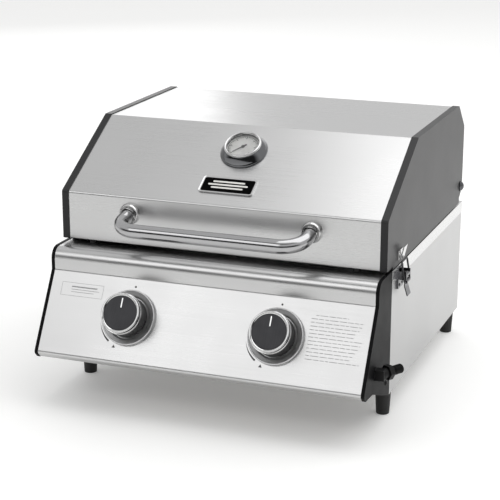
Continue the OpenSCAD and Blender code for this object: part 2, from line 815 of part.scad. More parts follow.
module thermo_bezel() color(chrome) place() on_lid_slope(thermo_up)
  rotate_extrude() polygon([
    [thermo_glass_r, 0], [thermo_r, 0], [thermo_r, 1.6], [thermo_r - 1, 3],
    [thermo_glass_r + 3, thermo_h - 1.5], [thermo_glass_r + 2, thermo_h - 0.3],
    [thermo_glass_r + 0.5, thermo_h], [thermo_glass_r - 0.8, thermo_h - 0.6],
    [thermo_glass_r - 0.8, thermo_glass_z + 2], [thermo_glass_r, thermo_glass_z + 2]]);

module thermo_body() color(steel) place() on_lid_slope(thermo_up) difference() {
  union() {
    cylinder(r = thermo_glass_r, h = thermo_dial_z);
    translate([0, 0, -14]) cylinder(r = thermo_thread_r, h = 15);
    translate([0, 0, -60]) cylinder(r = 3, h = 50);
  }
  translate([0, 0, thermo_dial_z - 3]) cylinder(r = needle_hole_r, h = 4);
}

module thermo_nut() color(brass) place() on_lid_slope(thermo_up)
  translate([0, 0, -sheet_t - 5]) difference() {
    cylinder(r = 10, h = 5, $fn = 6);
    translate([0, 0, -1]) cylinder(r = thermo_thread_r, h = 7);
  }

module thermo_dial() color(white) place() on_lid_slope(thermo_up)
  translate([0, 0, thermo_dial_z]) difference() {
    cylinder(r = thermo_glass_r - 0.4, h = 0.8);
    translate([0, 0, -1]) cylinder(r = 1.2, h = 3);
  }

module thermo_needle() color(black) place() on_lid_slope(thermo_up)
  rotate([0, 0, needle_rest_a]) {
    translate([0, 0, thermo_dial_z - 2.5]) cylinder(r = needle_pin_r, h = 4.5);
    translate([0, 0, thermo_dial_z + 1.4]) {
      cylinder(r = 2.4, h = 1);
      linear_extrude(height = 0.6)
        polygon([[-6, -1.2], [-6, 1.2], [0, 1], [needle_l, 0.35], [needle_l, -0.35], [0, -1]]);
    }
  }

module thermo_glass() color([0.8, 0.9, 0.95, 0.3]) place() on_lid_slope(thermo_up)
  translate([0, 0, thermo_glass_z]) cylinder(r = thermo_glass_r, h = 2);

// Knobs and valves

bezel_floor = 1.5;
knob_base = bezel_floor + push_travel + 0.8;
knob_top = knob_h - ring_h;
face_r = knob_face_r - 3.6;
flat_at = spindle_r - 1.2;
neck_r = knob_face_r - 1.5;
back_ring_z = knob_top - ring_h - ring_gap;

module knob_bezels() color(chrome) place()
  for (x = [-knob_x, knob_x]) on_panel(x)
    rotate_extrude() polygon([
      [spindle_r + 2, 0], [bezel_r, 0], [bezel_r, 4.8], [bezel_r - 0.8, 6], [bezel_r - 1.8, 6],
      [knob_r + 2.5, bezel_floor + 0.6], [knob_r + 1, bezel_floor], [spindle_r + 2, bezel_floor]]);

// The spindle's D section, from z = low to z = high, grown by grow
module spindle_d(low, high) difference() {
  translate([0, 0, low]) cylinder(r = spindle_r, h = high - low);
  block([-spindle_r - 1, flat_at, low - 1], [spindle_r + 1, spindle_r + 1, high + 1]);
}

module knob(x) color(black) place() on_panel(x) difference() {
  union() {
    difference() {
      rotate_extrude() polygon([
        [0, knob_base], [knob_r, knob_base], [knob_r, knob_base + 3], [knob_r - 0.8, knob_base + 4],
        [knob_face_r, back_ring_z - 1], [neck_r, back_ring_z], [neck_r, knob_top], [0, knob_top]]);
      translate([0, 0, knob_base - 1]) cylinder(r = knob_face_r - 5, h = knob_top - knob_base - 4);
    }
    translate([0, 0, knob_base]) cylinder(r = 9, h = knob_top - knob_base - 2);
  }
  spindle_d(knob_base - 1, knob_top - 5);
}
module knob_left() knob(-knob_x);
module knob_right() knob(knob_x);

// Two chrome rings: one round the front, one a little behind it
module knob_rings(x) color(chrome) place() on_panel(x) {
  rotate_extrude() polygon([
    [face_r, knob_top], [knob_face_r - 0.8, knob_top], [knob_face_r, knob_top + 0.8],
    [knob_face_r, knob_h - ring_edge], [knob_face_r - ring_edge, knob_h],
    [knob_face_r - 2.2, knob_h],
    [face_r, knob_h - 1.2]]);
  rotate_extrude() polygon([
    [neck_r, back_ring_z], [knob_face_r + 0.6, back_ring_z],
    [knob_face_r + 1.4, back_ring_z + 0.8], [knob_face_r + 1.2, back_ring_z + ring_h],
    [neck_r, back_ring_z + ring_h]]);
}
module knob_rings_left() knob_rings(-knob_x);
module knob_rings_right() knob_rings(knob_x);

// The knob's face, slightly dished, with a raised pointer line
module knob_face(x) color(dark) place() on_panel(x) translate([0, 0, knob_top]) {
  rotate_extrude() polygon([
    [0, 0], [face_r, 0], [face_r, 1.6], [face_r - 1.2, 1.6], [face_r * 0.6, 1.2], [0, 1]]);
  translate([0, face_r * 0.55, 0]) rounded_plate(1.8, face_r * 0.62, 0.8, 1.9);
}
module knob_face_left() knob_face(-knob_x);
module knob_face_right() knob_face(knob_x);

spindle_low = -34;
plug_r = 7;
plug_low = -46;
plug_high = -20;
valve_half = 13;

module spindle(x) color(brass) place() on_panel(x) {
  spindle_d(knob_base, knob_top - 5);
  translate([0, 0, spindle_low]) cylinder(r = spindle_r, h = knob_base - spindle_low);
}
module spindle_left() spindle(-knob_x);
module spindle_right() spindle(knob_x);

module valve_plug(x) color(brass) place() on_panel(x) difference() {
  translate([0, 0, plug_low]) cylinder(r = plug_r, h = plug_high - plug_low);
  translate([0, 0, spindle_low - push_travel - 1])
    cylinder(r = spindle_r + valve_clear, h = plug_high - spindle_low + push_travel + 2);
}
module valve_plug_left() valve_plug(-knob_x);
module valve_plug_right() valve_plug(knob_x);

valve_y = knob_at[0] + 34 * sin(panel_a);
outlet_y = burner_front_y - 6;

// The tap: a block along the spindle, a level outlet to the burner and a stub from the pipe
module valve_body(x) color(brass) place() difference() {
  union() {
    on_panel(x)
      block([-valve_half, -valve_half, plug_low - 5], [valve_half, valve_half, plug_high + 3]);
    rod_y(6, valve_y, outlet_y, x, burner_z);
    translate([x, -pipe_y, pipe_z]) cylinder(r = 6, h = 20);
  }
  rod_x(pipe_r, x - 20, x + 20, -pipe_y, pipe_z);
  on_panel(x) {
    translate([0, 0, plug_low - gap])
      cylinder(r = plug_r + valve_clear, h = plug_high - plug_low + 2 * gap);
    translate([0, 0, plug_low]) cylinder(r = spindle_r + 1, h = plug_high - plug_low + 10);
  }
}
module valve_body_left() valve_body(-knob_x);
module valve_body_right() valve_body(knob_x);

module injectors() color(brass) place()
  for (x = [-knob_x, knob_x]) rod_y(4, outlet_y, burner_front_y + 6, x, burner_z);

// Gas pipe and inlet

module gas_pipe() color(brass) place() difference() {
  rod_x(pipe_r, -knob_x - 22, cap_x, -pipe_y, pipe_z);
  rod_x(pipe_r - 2, -knob_x - 20, cap_x + 1, -pipe_y, pipe_z);
}

// Z runs out along the spigot
module at_inlet()
  translate([elbow_x, -pipe_y, pipe_z])
    rotate([0, 0, -spigot_turn]) rotate([-90, 0, 0]) children();

module inlet_elbow() color(black) place() {
  block([cap_x, -pipe_y - elbow_r, pipe_z - elbow_r],
        [elbow_x + elbow_r, -pipe_y + elbow_r, pipe_z + elbow_r]);
  rod_x(pipe_r + 1.5, cap_x, cap_x + 1.2, -pipe_y, pipe_z);
  at_inlet() {
    cylinder(r = elbow_r, h = elbow_l + nut_l);
    translate([0, 0, elbow_l + nut_l]) cylinder(r = spigot_r, h = spigot_l);
  }
}

module inlet_nut() color(black) place() at_inlet() translate([0, 0, elbow_l]) difference() {
  cylinder(r = nut_r, h = nut_l, $fn = 6);
  translate([0, 0, -1]) cylinder(r = elbow_r, h = nut_l + 2);
}

// Latches

latch_pin_r = 1.5;
plate_t = 2.4;
lever_half_w = 8.6;
bail_half_w = 14;
lever_tip = [lever_reach, latch_pivot_z - lever_l];

// In the latch's own frame X runs out from the side
module at_latch(side)
  translate([side * half_w, latch_y, 0]) mirror([side > 0 ? 0 : 1, 0, 0]) children();

// An (x, z) outline made into a bar along Y, in the middle of the latch
module latch_bar(points, half) along_y(points, -half, half);

module latch_plates() color(chrome) place() for (side = [-1, 1]) at_latch(side) {
  low = latch_pivot_z - 19;
  step = rim_z - rim_h;
  block([0, -latch_half_w - 2, low], [plate_t, latch_half_w + 2, step]);
  block([rim_t, -latch_half_w - 2, low], [plate_t, latch_half_w + 2, rim_z - 3]);
  for (y = [-latch_half_w, latch_half_w - 1.5])
    block([plate_t - 1, y, latch_pivot_z - 6], [latch_pivot_s + 4, y + 1.5, latch_pivot_z + 6]);
  rod_y(latch_pin_r, -latch_half_w - 1, latch_half_w + 1, latch_pivot_s, latch_pivot_z);
  for (y = [-7, 7]) translate([plate_t, y, low + 5]) rotate([0, 90, 0]) dome(2.4, 1.2);
}

module latch_lever(side) color(chrome) place() at_latch(side) difference() {
  union() {
    rod_y(4, -lever_half_w, lever_half_w, latch_pivot_s, latch_pivot_z);
    rod_y(2.6, -lever_half_w, lever_half_w, bail_foot[0], bail_foot[1]);
    latch_bar(strip(bent([[latch_pivot_s + 3.2, latch_pivot_z + 1],
                          [latch_pivot_s + 1.5, latch_pivot_z - 15], lever_tip], [12]), -1.5),
              lever_half_w);
  }
  rod_y(latch_pin_r + valve_clear, -20, 20, latch_pivot_s, latch_pivot_z);
  rod_y(wire_r + valve_clear, -20, 20, bail_foot[0], bail_foot[1]);
}
module latch_lever_left() latch_lever(-1);
module latch_lever_right() latch_lever(1);

// A wire loop: its foot runs through the lever, its legs rise outside the ears
module latch_bail(side) color(chrome) place() at_latch(side) {
  rise = bail_top - bail_foot;
  lean = atan2(rise[0], rise[1]);
  length = norm(rise);
  r = bail_bend_r;
  straight = bail_half_w - r;
  translate([bail_foot[0], 0, bail_foot[1]]) rotate([0, lean, 0]) {
    for (z = [0, length]) rod_y(wire_r, -straight, straight, 0, z);
    for (y = [-bail_half_w, bail_half_w])
      translate([0, y, r]) cylinder(r = wire_r, h = length - 2 * r);
    for (side_y = [-1, 1], end = [0, 1])
      translate([0, side_y * straight, end == 0 ? r : length - r])
        rotate([0, -90, 0]) rotate([0, 0, corner_turn(side_y, end)])
          rotate_extrude(angle = 90) translate([r, 0]) circle(r = wire_r);
  }
}
// The quarter that each corner of the loop covers, seen along its axis
function corner_turn(side_y, end) =
  end == 0 ? (side_y > 0 ? 90 : 180) : (side_y > 0 ? 0 : 270);
module latch_bail_left() latch_bail(-1);
module latch_bail_right() latch_bail(1);

// A plate with a lip that leans out and up
module latch_keepers() color(chrome) place() for (side = [-1, 1]) at_latch(side) {
  block([0, -12, keeper_z], [1.5, 12, keeper_z + 13]);
  latch_bar(strip(bent([[0, keeper_z], [4, keeper_z],
                        [keeper_lip_s, keeper_z + keeper_lip_h]], [2]), 1.5), 8.5);
  for (y = [-10, 10]) translate([1.5, y, keeper_z + 9.5]) rotate([0, 90, 0]) dome(1.6, 1);
}

// Nodes

body_shell();
rim_frame();
floor_panel();
front_wall();
firebox();
control_panel();
panel_cap_left();
panel_cap_right();
cap_screws();
lid_bumpers();
feet();
foot_screws();
hinge_brackets();
pivot_bolts();
lid_skin();
lid_end_left();
lid_end_right();
handle_bar();
handle_rosettes();
handle_screws();
badge_plate();
badge_frame();
thermo_bezel();
thermo_body();
thermo_dial();
thermo_needle();
thermo_glass();
thermo_nut();
knob_bezels();
knob_left();
knob_right();
knob_rings_left();
knob_rings_right();
knob_face_left();
knob_face_right();
spindle_left();
spindle_right();
valve_plug_left();
valve_plug_right();
valve_body_left();
valve_body_right();
injectors();
gas_pipe();
inlet_elbow();
inlet_nut();
burner_left();
burner_right();
electrodes();
electrode_sleeves();
flame_tamers();
grate_left();
grate_right();
drip_tray();
tray_rails();
latch_plates();
latch_lever_left();
latch_lever_right();
latch_bail_left();
latch_bail_right();
latch_keepers();
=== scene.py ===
import json
import math
import bmesh
import bpy
from mathutils import Matrix, Vector

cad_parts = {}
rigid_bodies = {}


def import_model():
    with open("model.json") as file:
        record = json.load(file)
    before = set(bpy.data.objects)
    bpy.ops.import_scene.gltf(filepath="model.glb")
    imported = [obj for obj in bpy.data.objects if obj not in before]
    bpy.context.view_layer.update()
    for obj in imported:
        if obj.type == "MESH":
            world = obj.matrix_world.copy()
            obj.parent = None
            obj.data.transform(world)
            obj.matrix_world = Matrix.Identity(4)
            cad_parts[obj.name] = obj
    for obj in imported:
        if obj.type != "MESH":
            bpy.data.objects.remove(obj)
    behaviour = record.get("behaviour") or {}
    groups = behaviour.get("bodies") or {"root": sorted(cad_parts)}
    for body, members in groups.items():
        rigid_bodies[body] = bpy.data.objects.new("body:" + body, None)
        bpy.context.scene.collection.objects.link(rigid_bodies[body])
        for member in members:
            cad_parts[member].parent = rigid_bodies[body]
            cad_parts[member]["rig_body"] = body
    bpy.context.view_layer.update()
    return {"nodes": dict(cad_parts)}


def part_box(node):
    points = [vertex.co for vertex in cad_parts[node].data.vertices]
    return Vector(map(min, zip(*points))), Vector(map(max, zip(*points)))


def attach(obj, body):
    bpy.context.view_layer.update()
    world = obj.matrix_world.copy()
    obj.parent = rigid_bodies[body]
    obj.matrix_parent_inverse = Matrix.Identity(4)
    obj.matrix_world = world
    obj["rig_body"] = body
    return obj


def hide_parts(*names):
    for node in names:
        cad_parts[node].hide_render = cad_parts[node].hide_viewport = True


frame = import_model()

nodes = frame["nodes"]

# The grill is drawn in millimetres from the middle of the lid's front face, on the ground
lidLow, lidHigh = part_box("lid_skin")
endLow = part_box("lid_end_left")[0]
zero = Vector(((lidLow.x + lidHigh.x) / 2, endLow.y, 0))


def at(x, y, z):
    return zero + Vector((x, y, z)) * 0.001


# Colours and nodes

def linear(hexColour):
    parts = [int(hexColour[i:i + 2], 16) / 255 for i in (1, 3, 5)]
    return tuple(c / 12.92 if c <= 0.04045 else ((c + 0.055) / 1.055) ** 2.4 for c in parts) + (1,)


def addNode(tree, kind, settings=None, values=None, links=None):
    node = tree.nodes.new(kind)
    for key, value in (settings or {}).items():
        setattr(node, key, value)
    for key, value in (values or {}).items():
        node.inputs[key].default_value = value
    for key, socket in (links or {}).items():
        tree.links.new(socket, node.inputs[key])
    return node


def startMaterial(name, colour, metallic, roughness, ior=None):
    material = bpy.data.materials.new(name)
    material.use_nodes = True
    tree = material.node_tree
    shader = tree.nodes["Principled BSDF"]
    shader.inputs["Base Color"].default_value = linear(colour)
    shader.inputs["Metallic"].default_value = metallic
    shader.inputs["Roughness"].default_value = roughness
    if ior:
        shader.inputs["IOR"].default_value = ior
    place = addNode(tree, "ShaderNodeTexCoord").outputs["Object"]
    return material, tree, shader, place


def brushedMetal(name, look):
    # long fine scratches in one direction, with broad faint smears of handling over them
    material, tree, shader, place = startMaterial(name, look["colour"], 1, look["roughness"])
    stretch = addNode(tree, "ShaderNodeMapping", links={"Vector": place},
                      values={"Scale": [1000 / s for s in look["grain"]]})
    grain = addNode(tree, "ShaderNodeTexNoise", values={"Scale": 1, "Detail": 3, "Roughness": 0.6},
                    links={"Vector": stretch.outputs["Vector"]})
    smear = addNode(tree, "ShaderNodeTexNoise", values={"Scale": 1000 / look["smear"], "Detail": 4},
                    links={"Vector": place})
    tone = addNode(tree, "ShaderNodeMix", {"data_type": "RGBA"},
                   {6: linear(look["darkGrain"]), 7: linear(look["colour"])},
                   {0: grain.outputs["Fac"]})
    tree.links.new(tone.outputs[2], shader.inputs["Base Color"])
    fine = addNode(tree, "ShaderNodeMapRange", values={
        "From Min": 0.3, "From Max": 0.7,
        "To Min": look["roughness"] - 0.02, "To Max": look["roughness"] + 0.03},
        links={"Value": grain.outputs["Fac"]})
    broad = addNode(tree, "ShaderNodeMapRange", values={
        "From Min": 0.35, "From Max": 0.65, "To Min": 0, "To Max": look["smearRoughness"]},
        links={"Value": smear.outputs["Fac"]})
    total = addNode(tree, "ShaderNodeMath", {"operation": "ADD"},
                    links={0: fine.outputs["Result"], 1: broad.outputs["Result"]})
    tree.links.new(total.outputs["Value"], shader.inputs["Roughness"])
    bump = addNode(tree, "ShaderNodeBump", values={"Strength": look["bump"], "Distance": 0.0001},
                   links={"Height": grain.outputs["Fac"]})
    tree.links.new(bump.outputs["Normal"], shader.inputs["Normal"])
    return material


def grainyFinish(name, look):
    # a painted, moulded or cast surface: a fine grain in relief, patches of gloss and of colour
    material, tree, shader, place = startMaterial(
        name, look["colour"], look.get("metallic", 0), look["roughness"], look.get("ior"))
    shader.inputs["Specular IOR Level"].default_value = look.get("shine", 0.5)
    grain = addNode(tree, "ShaderNodeTexNoise", values={"Scale": 1000 / look["grain"], "Detail": 2},
                    links={"Vector": place})
    patch = addNode(tree, "ShaderNodeTexNoise", values={"Scale": 1000 / look["patch"], "Detail": 4},
                    links={"Vector": place})
    tone = addNode(tree, "ShaderNodeMapRange", values={
        "From Min": 0.35, "From Max": 0.65}, links={"Value": patch.outputs["Fac"]})
    mix = addNode(tree, "ShaderNodeMix", {"data_type": "RGBA"},
                  {6: linear(look["colour"]), 7: linear(look["worn"])}, {0: tone.outputs["Result"]})
    tree.links.new(mix.outputs[2], shader.inputs["Base Color"])
    gloss = addNode(tree, "ShaderNodeMapRange", values={
        "From Min": 0.3, "From Max": 0.7, "To Min": look["roughness"] - look["glossSpread"],
        "To Max": look["roughness"] + look["glossSpread"]}, links={"Value": patch.outputs["Fac"]})
    tree.links.new(gloss.outputs["Result"], shader.inputs["Roughness"])
    bump = addNode(tree, "ShaderNodeBump", values={
        "Strength": look["bump"], "Distance": look["depth"] / 1000},
        links={"Height": grain.outputs["Fac"]})
    tree.links.new(bump.outputs["Normal"], shader.inputs["Normal"])
    return material


# 304 stainless sheet, brushed lengthways: the scratches are about 0.3 mm apart, and are drawn
# 1 mm apart so that they show
lidSteel = brushedMetal("brushed stainless, across", {
    "colour": "#cacaca", "darkGrain": "#c4c4c4", "roughness": 0.26, "grain": (260, 0.7, 0.7),
    "smear": 150, "smearRoughness": 0.05, "bump": 0.01})
# The body's sides: the same brushed stainless, its colour darkened as painted shade
shadedSideSteel = brushedMetal("brushed stainless, level", {
    "colour": "#bebebe", "darkGrain": "#b5b5b5", "roughness": 0.3, "grain": (260, 260, 0.8),
    "smear": 140, "smearRoughness": 0.05, "bump": 0.014})
# The folded rim strip, a little glossier than the side it wraps and painted lighter as a painted
# highlight, so that it stands out as a band
litRimSteel = brushedMetal("brushed stainless, folded rim", {
    "colour": "#dadada", "darkGrain": "#cfcfcf", "roughness": 0.22, "grain": (260, 260, 0.8),
    "smear": 90, "smearRoughness": 0.05, "bump": 0.012})
# Plain rolled steel inside: duller, with a broad mottle
innerSteel = brushedMetal("rolled steel, satin", {
    "colour": "#b9b8b4", "darkGrain": "#a3a29e", "roughness": 0.38, "grain": (40, 3, 3),
    "smear": 60, "smearRoughness": 0.12, "bump": 0.06})
# Stainless that has been heated: straw and brown bloom
heatedSteel = brushedMetal("heat-stained stainless", {
    "colour": "#b5a692", "darkGrain": "#8d7a64", "roughness": 0.36, "grain": (30, 26, 26),
    "smear": 30, "smearRoughness": 0.16, "bump": 0.04})
# Polished stainless: mirror-like, with finger marks
polishedSteel = brushedMetal("polished stainless", {
    "colour": "#d2d2d2", "darkGrain": "#c6c6c6", "roughness": 0.07, "grain": (3, 3, 3),
    "smear": 14, "smearRoughness": 0.05, "bump": 0.01})
# The handle's tube, drawn and polished: it mirrors the room in long dark and bright streaks, and
# its colour is darker than the other polished stainless as a painted dark reflection
darkenedTubeSteel = brushedMetal("polished stainless tube", {
    "colour": "#b4b4b5", "darkGrain": "#a6a6a7", "roughness": 0.09, "grain": (120, 3, 3),
    "smear": 40, "smearRoughness": 0.04, "bump": 0.01})
# Zinc-plated pressed steel of the latches: bright, a little uneven
platedSteel = brushedMetal("zinc-plated steel", {
    "colour": "#cfd0d0", "darkGrain": "#b9babb", "roughness": 0.17, "grain": (2.5, 2.5, 2.5),
    "smear": 9, "smearRoughness": 0.1, "bump": 0.03})
# The latches' pressed steel, nickel-plated: its colour is darkened as a painted dark reflection, so
# it shows black and white
darkenedLatchSteel = brushedMetal("nickel-plated steel", {
    "colour": "#68686b", "darkGrain": "#545457", "roughness": 0.13, "grain": (2.5, 2.5, 2.5),
    "smear": 8, "smearRoughness": 0.08, "bump": 0.03})
# Spring wire, oil-blackened
springWire = brushedMetal("spring wire, blackened", {
    "colour": "#4c4c4e", "darkGrain": "#333335", "roughness": 0.24, "grain": (2, 2, 2),
    "smear": 6, "smearRoughness": 0.1, "bump": 0.03})
# Machined brass: yellow, turned
brassMetal = brushedMetal("machined brass", {
    "colour": "#d3b067", "darkGrain": "#b18f4d", "roughness": 0.26, "grain": (4, 4, 4),
    "smear": 20, "smearRoughness": 0.1, "bump": 0.03})
# Anodised aluminium of the knob's face: dark grey, brushed up and down
graphiteMetal = brushedMetal("anodised aluminium, graphite", {
    "colour": "#4b4b4d", "darkGrain": "#3b3b3d", "roughness": 0.42, "grain": (0.9, 40, 40),
    "smear": 16, "smearRoughness": 0.06, "bump": 0.08})
# Powder-coated steel: dark grey satin with a faint orange-peel
darkPaint = grainyFinish("powder-coated steel, dark grey", {
    "colour": "#262627", "worn": "#29292a", "roughness": 0.36, "ior": 1.5, "shine": 0.26,
    "grain": 0.9, "patch": 60, "glossSpread": 0.015, "bump": 0.12, "depth": 0.1})
# The control panel's ends: the same paint, darker as painted shade, and flatter
shadedCapPaint = grainyFinish("powder-coated steel, textured", {
    "colour": "#0c0c0d", "worn": "#121213", "roughness": 0.46, "ior": 1.5, "shine": 0.065,
    "grain": 1.1, "patch": 50, "glossSpread": 0.05, "bump": 0.16, "depth": 0.12})
# Thick chrome plate of the gauge's flared wall: the sharpest mirror on the grill, its colour
# darkened as a painted dark reflection
darkenedChrome = brushedMetal("chrome plate", {
    "colour": "#78797b", "darkGrain": "#6f7072", "roughness": 0.05, "grain": (3, 3, 3),
    "smear": 12, "smearRoughness": 0.03, "bump": 0.01})
# Satin chrome of the knobs' bezels: bright all round, with soft edges to what it mirrors
satinChrome = brushedMetal("satin chrome plate", {
    "colour": "#dcdcdc", "darkGrain": "#c4c4c5", "roughness": 0.38, "grain": (2, 2, 2),
    "smear": 9, "smearRoughness": 0.08, "bump": 0.02})
# Polished stainless in the rosettes' recesses, darkened to a dark mirror as painted shade of the
# recess
recessShadeChrome = brushedMetal("polished stainless, painted recess shade", {
    "colour": "#4a4a4b", "darkGrain": "#3c3c3d", "roughness": 0.1, "grain": (3, 3, 3),
    "smear": 12, "smearRoughness": 0.05, "bump": 0.01})
# The powder coat on folded edges, a darker, shineless copy of the ends' paint as painted shade; and
# the badge's plate: black
blackPaintAndEdgeShade = grainyFinish("powder-coated steel, black", {
    "colour": "#030303", "worn": "#060606", "roughness": 0.7, "ior": 1.5, "shine": 0.02,
    "grain": 0.9, "patch": 40, "glossSpread": 0.06, "bump": 0.12, "depth": 0.1})
# Blackened brass fitting
blackMetal = grainyFinish("blackened fitting", {
    "colour": "#050505", "worn": "#0f0f10", "roughness": 0.42, "ior": 1.5, "shine": 0.25,
    "grain": 0.7, "patch": 9, "glossSpread": 0.1, "bump": 0.2, "depth": 0.1})
# Moulded nylon of the knob: black, half gloss
blackNylon = grainyFinish("moulded nylon, black", {
    "colour": "#0a0a0b", "worn": "#121213", "roughness": 0.3, "ior": 1.53, "grain": 0.6,
    "patch": 14, "glossSpread": 0.06, "bump": 0.06, "depth": 0.05})
# Moulded rubber: matt black with dust
blackRubber = grainyFinish("moulded rubber", {
    "colour": "#0b0b0b", "worn": "#1d1d1c", "roughness": 0.62, "ior": 1.5, "grain": 0.8,
    "patch": 7, "glossSpread": 0.12, "bump": 0.25, "depth": 0.12})
# Enamelled cast iron: near black, pebbled like a sand casting
enamelledIron = grainyFinish("enamelled cast iron", {
    "colour": "#121213", "worn": "#252423", "roughness": 0.4, "ior": 1.52, "grain": 2.2,
    "patch": 18, "glossSpread": 0.14, "bump": 0.5, "depth": 0.3})
# Glazed ceramic of the electrodes' sleeves
whiteCeramic = grainyFinish("glazed ceramic", {
    "colour": "#e7e3d8", "worn": "#d8d2c4", "roughness": 0.25, "ior": 1.5, "grain": 1.5,
    "patch": 8, "glossSpread": 0.08, "bump": 0.05, "depth": 0.1})
# The dial's silver-white print
dialWhite = grainyFinish("printed dial, silver white", {
    "colour": "#f6f6f4", "worn": "#ebebe8", "roughness": 0.4, "ior": 1.5, "grain": 0.5,
    "patch": 9, "glossSpread": 0.05, "bump": 0.03, "depth": 0.05})
# Inks: the dial's marks, the panel's marks, and the panel's notes
dialInk = grainyFinish("dial ink", {
    "colour": "#2a2a2b", "worn": "#39393a", "roughness": 0.5, "ior": 1.5, "grain": 0.5,
    "patch": 6, "glossSpread": 0.05, "bump": 0.03, "depth": 0.03})
panelInk = grainyFinish("screen-printed ink, grey", {
    "colour": "#3a3a3b", "worn": "#49494a", "roughness": 0.5, "ior": 1.5, "grain": 0.5,
    "patch": 6, "glossSpread": 0.06, "bump": 0.03, "depth": 0.03})
noteInk = grainyFinish("screen-printed ink, light grey", {
    "colour": "#8d8d8e", "worn": "#9c9c9d", "roughness": 0.5, "ior": 1.5, "grain": 0.5,
    "patch": 6, "glossSpread": 0.06, "bump": 0.03, "depth": 0.03})
# The badge's plain bars
whitePaint = grainyFinish("enamel paint, white", {
    "colour": "#ecebe7", "worn": "#dfded9", "roughness": 0.3, "ior": 1.5, "grain": 0.6,
    "patch": 8, "glossSpread": 0.06, "bump": 0.05, "depth": 0.05})
# The gauge's glass, with a faint mist on it
gaugeGlass, glassTree, glassShader, glassPlace = startMaterial(
    "gauge glass", "#ffffff", 0, 0.02, 1.45)
glassShader.inputs["Transmission Weight"].default_value = 1
glassMist = addNode(glassTree, "ShaderNodeTexNoise", values={"Scale": 90, "Detail": 3},
                    links={"Vector": glassPlace})
glassHaze = addNode(glassTree, "ShaderNodeMapRange", values={
    "From Min": 0.4, "From Max": 0.8, "To Min": 0.01, "To Max": 0.08},
    links={"Value": glassMist.outputs["Fac"]})
glassTree.links.new(glassHaze.outputs["Result"], glassShader.inputs["Roughness"])
print("materials made")


# Shaping
sharpAngle, flatAngle = math.radians(38), math.radians(0.6)
weld, solidWeld = 1e-6, 2e-6


def roundEdges(bm, width, segments=2, sharpest=28):
    edges = [e for e in bm.edges if len(e.link_faces) == 2
             and e.calc_face_angle(0) > math.radians(sharpest)]
    if edges:
        bmesh.ops.bevel(bm, geom=edges, offset=width / 1000, offset_type="OFFSET", affect="EDGES",
                        segments=segments, profile=0.5, clamp_overlap=True, material=-1)


def finishPiece(bm, name, body, material, replaced=(), matrix=None, turnOut=True):
    if matrix:
        bmesh.ops.transform(bm, matrix=matrix, verts=bm.verts)
    if turnOut:
        bmesh.ops.recalc_face_normals(bm, faces=bm.faces)
    mesh = bpy.data.meshes.new(name)
    bm.to_mesh(mesh)
    bm.free()
    mesh.shade_smooth()
    mesh.set_sharp_from_angle(angle=sharpAngle)
    mesh.materials.clear()
    for finish in (material if isinstance(material, list) else [material]):
        mesh.materials.append(finish)
    piece = bpy.data.objects.new(name, mesh)
    bpy.context.scene.collection.objects.link(piece)
    weight = piece.modifiers.new("evenNormals", "WEIGHTED_NORMAL")
    weight.keep_sharp = True
    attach(piece, body)
    if replaced:
        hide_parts(*replaced)
    return piece


def profileSpin(points, steps=72):
    # points are (radius, height) in millimetres, turned a full round about Z
    bm = bmesh.new()
    verts = [bm.verts.new((r / 1000, 0, h / 1000)) for r, h in points]
    edges = [bm.edges.new(pair) for pair in zip(verts, verts[1:])]
    bmesh.ops.spin(bm, geom=verts + edges, cent=(0, 0, 0), axis=(0, 0, 1), angle=2 * math.pi,
                   steps=steps, use_merge=True)
    bmesh.ops.remove_doubles(bm, verts=bm.verts, dist=weld)
    return bm


def addBox(bm, low, high, matrix=None):
    # a box between two corners, in millimetres
    size = [(b - a) / 1000 for a, b in zip(low, high)]
    middle = [(a + b) / 2000 for a, b in zip(low, high)]
    place = Matrix.Translation(middle) @ Matrix.Diagonal((*size, 1))
    return bmesh.ops.create_cube(bm, size=1, matrix=(matrix or Matrix()) @ place)["verts"]


def joinInto(bm, other):
    scratch = bpy.data.meshes.new("scratch")
    other.to_mesh(scratch)
    other.free()
    bm.from_mesh(scratch)
    bpy.data.meshes.remove(scratch)


def paintEdgeShade(bm):
    # faces that look sideways keep the first finish, and all the others get the second, which is
    # painted shade on the folded edges
    bm.normal_update()
    for face in bm.faces:
        face.material_index = 0 if abs(face.normal.x) > 0.7 else 1


def refined(node, name, body, material, width=0.25, segments=2, finish=None):
    # the node's own solid with its coplanar triangles joined and its edges softened
    bm = bmesh.new()
    bm.from_mesh(nodes[node].data)
    bmesh.ops.remove_doubles(bm, verts=bm.verts, dist=solidWeld)
    bmesh.ops.dissolve_limit(bm, angle_limit=flatAngle, verts=bm.verts, edges=bm.edges)
    if width:
        roundEdges(bm, width, segments)
    if finish:
        finish(bm)
    return finishPiece(bm, name, body, material, (node,), turnOut=False)


# Places: the knobs' line on the panel, and the lid's upper front slope
panelTilt, lidTilt = math.radians(60), math.radians(30)
knobPlace = {"down": -65.75, "height": 136.204, "apart": 110}
slopePlace = {"y": 1.2, "z": 293.807}


def onPanel(x, up=0, across=0):
    return (Matrix.Translation(at(x, knobPlace["down"], knobPlace["height"]))
            @ Matrix.Rotation(panelTilt, 4, "X")
            @ Matrix.Translation((across / 1000, up / 1000, 0)))


def onLidSlope(up):
    return (Matrix.Translation(at(0, slopePlace["y"], slopePlace["z"]))
            @ Matrix.Rotation(lidTilt, 4, "X") @ Matrix.Translation((0, up / 1000, 0)))


bodyOf = {n: o["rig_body"] for n, o in nodes.items()}

# Sheet-metal and cast pieces that keep their drawn shape, with softened edges

